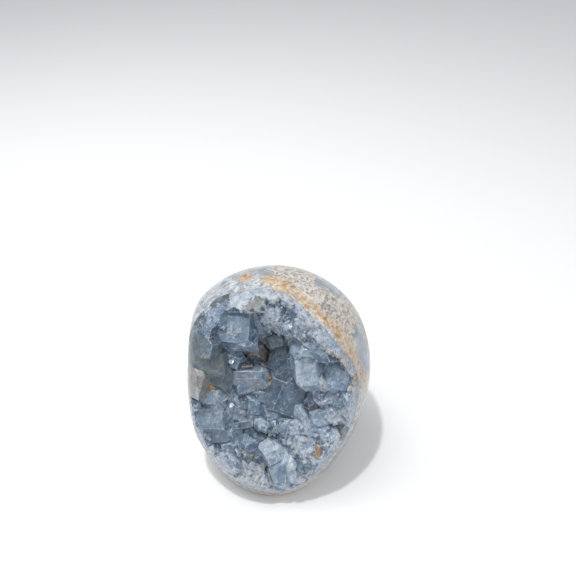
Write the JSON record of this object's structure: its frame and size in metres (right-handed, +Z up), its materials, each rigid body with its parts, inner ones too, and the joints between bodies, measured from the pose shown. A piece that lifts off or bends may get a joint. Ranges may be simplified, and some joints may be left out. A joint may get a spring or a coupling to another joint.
{
  "type": "celestite crystal geode",
  "caption": "Egg-shaped polished stone leaning back on a flat foot, its open front lined with pale blue celestite crystals.",
  "frame": {"origin": "middle of the flat ground foot that the stone stands on", "axes": "+Z up, -Y is the front, where the open crystal face looks out and 28 degrees up, +X to the right seen from the front"},
  "size_m": [0.0691, 0.0723, 0.0769],
  "materials": {
    "polished_matrix": "polished stone, satin",
    "celestite": "clear to frosted pale blue crystal"
  },
  "bodies": {
    "root": {"geode_stone": "polished_matrix", "crystal_lining": "celestite"}
  },
  "joints": []
}
